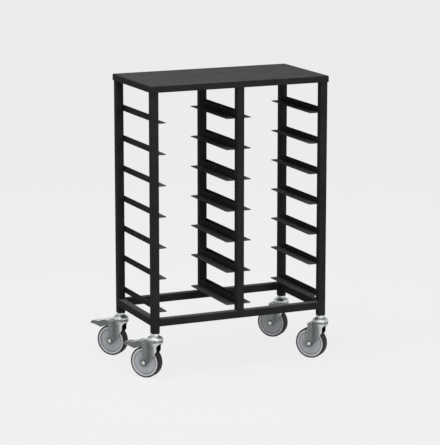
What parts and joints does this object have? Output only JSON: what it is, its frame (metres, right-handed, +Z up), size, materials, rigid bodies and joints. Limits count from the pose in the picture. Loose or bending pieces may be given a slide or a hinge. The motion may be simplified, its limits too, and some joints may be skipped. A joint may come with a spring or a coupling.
{
  "type": "tray return trolley",
  "caption": "Two-bay tray return trolley: black square-tube frame with angle tray runners and a flat folded top, on swivel casters, the left ones braked.",
  "frame": {"origin": "on the floor, under the middle of the frame's length and depth", "axes": "+X to the right along the long side, +Y from the open front to the back, +Z up"},
  "size_m": [0.8449, 0.5068, 1.152],
  "materials": {
    "black_powder_coat": "satin fine-textured powder coat",
    "zinc_plate": "bright zinc plate on pressed steel",
    "bright_fixings": "bright zinc-plated fixings",
    "hardened_steel": "polished",
    "wheel_grey": "satin moulded plastic",
    "tyre_rubber": "matt charcoal rubber",
    "bearing_plastic": "plain bearing plastic",
    "brake_rubber": "matt",
    "foot_plug": "matt moulded plastic"
  },
  "bodies": {
    "trolley_frame": {"post_front_left": "black_powder_coat", "post_front_middle": "black_powder_coat", "post_front_right": "black_powder_coat", "post_back_left": "black_powder_coat", "post_back_middle": "black_powder_coat", "post_back_right": "black_powder_coat", "rail_front": "black_powder_coat", "rail_back": "black_powder_coat", "rail_left": "black_powder_coat", "rail_right": "black_powder_coat", "top_panel": "black_powder_coat", "tray_runners_left_1": "black_powder_coat", "tray_runners_left_2": "black_powder_coat", "tray_runners_left_3": "black_powder_coat", "tray_runners_left_4": "black_powder_coat", "tray_runners_left_5": "black_powder_coat", "tray_runners_left_6": "black_powder_coat", "tray_runners_left_7": "black_powder_coat", "tray_runners_right_1": "black_powder_coat", "tray_runners_right_2": "black_powder_coat", "tray_runners_right_3": "black_powder_coat", "tray_runners_right_4": "black_powder_coat", "tray_runners_right_5": "black_powder_coat", "tray_runners_right_6": "black_powder_coat", "tray_runners_right_7": "black_powder_coat", "post_plugs": "foot_plug", "king_bolts": "bright_fixings", "ball_rings": "hardened_steel", "caster_cup_front_left": "zinc_plate", "caster_cup_front_right": "zinc_plate", "caster_cup_back_left": "zinc_plate", "caster_cup_back_right": "zinc_plate"},
    "caster_front_left": {"caster_fork_front_left": "zinc_plate", "axle_bolt_front_left": "bright_fixings", "brake_pin_front_left": "bright_fixings"},
    "wheel_front_left": {"wheel_core_front_left": "wheel_grey", "tyre_front_left": "tyre_rubber", "wheel_bush_front_left": "bearing_plastic"},
    "pedal_front_left": {"brake_pedal_front_left": "zinc_plate", "brake_shoe_front_left": "brake_rubber"},
    "caster_front_right": {"caster_fork_front_right": "zinc_plate", "axle_bolt_front_right": "bright_fixings"},
    "wheel_front_right": {"wheel_core_front_right": "wheel_grey", "tyre_front_right": "tyre_rubber", "wheel_bush_front_right": "bearing_plastic"},
    "caster_back_left": {"caster_fork_back_left": "zinc_plate", "axle_bolt_back_left": "bright_fixings", "brake_pin_back_left": "bright_fixings"},
    "wheel_back_left": {"wheel_core_back_left": "wheel_grey", "tyre_back_left": "tyre_rubber", "wheel_bush_back_left": "bearing_plastic"},
    "pedal_back_left": {"brake_pedal_back_left": "zinc_plate", "brake_shoe_back_left": "brake_rubber"},
    "caster_back_right": {"caster_fork_back_right": "zinc_plate", "axle_bolt_back_right": "bright_fixings"},
    "wheel_back_right": {"wheel_core_back_right": "wheel_grey", "tyre_back_right": "tyre_rubber", "wheel_bush_back_right": "bearing_plastic"}
  },
  "joints": [
    {"name": "swivel_front_left", "type": "hinge", "parent": "trolley_frame", "child": "caster_front_left", "pos_m": [-0.36, -0.183, 0.146], "axis": [0, 0, 1], "continuous": true},
    {"name": "roll_front_left", "type": "hinge", "parent": "caster_front_left", "child": "wheel_front_left", "pos_m": [-0.38443, -0.15389, 0.0625], "axis": [-0.766, -0.6428, 0], "continuous": true},
    {"name": "brake_front_left", "type": "hinge", "parent": "caster_front_left", "child": "pedal_front_left", "pos_m": [-0.38571, -0.15236, 0.135], "axis": [-0.766, -0.6428, 0], "range_deg": [0, 8]},
    {"name": "swivel_front_right", "type": "hinge", "parent": "trolley_frame", "child": "caster_front_right", "pos_m": [0.36, -0.183, 0.146], "axis": [0, 0, 1], "continuous": true},
    {"name": "roll_front_right", "type": "hinge", "parent": "caster_front_right", "child": "wheel_front_right", "pos_m": [0.33557, -0.15389, 0.0625], "axis": [-0.766, -0.6428, 0], "continuous": true},
    {"name": "swivel_back_left", "type": "hinge", "parent": "trolley_frame", "child": "caster_back_left", "pos_m": [-0.36, 0.183, 0.146], "axis": [0, 0, 1], "continuous": true},
    {"name": "roll_back_left", "type": "hinge", "parent": "caster_back_left", "child": "wheel_back_left", "pos_m": [-0.38443, 0.21211, 0.0625], "axis": [-0.766, -0.6428, 0], "continuous": true},
    {"name": "brake_back_left", "type": "hinge", "parent": "caster_back_left", "child": "pedal_back_left", "pos_m": [-0.38571, 0.21364, 0.135], "axis": [-0.766, -0.6428, 0], "range_deg": [0, 8]},
    {"name": "swivel_back_right", "type": "hinge", "parent": "trolley_frame", "child": "caster_back_right", "pos_m": [0.36, 0.183, 0.146], "axis": [0, 0, 1], "continuous": true},
    {"name": "roll_back_right", "type": "hinge", "parent": "caster_back_right", "child": "wheel_back_right", "pos_m": [0.33557, 0.21211, 0.0625], "axis": [-0.766, -0.6428, 0], "continuous": true}
  ]
}
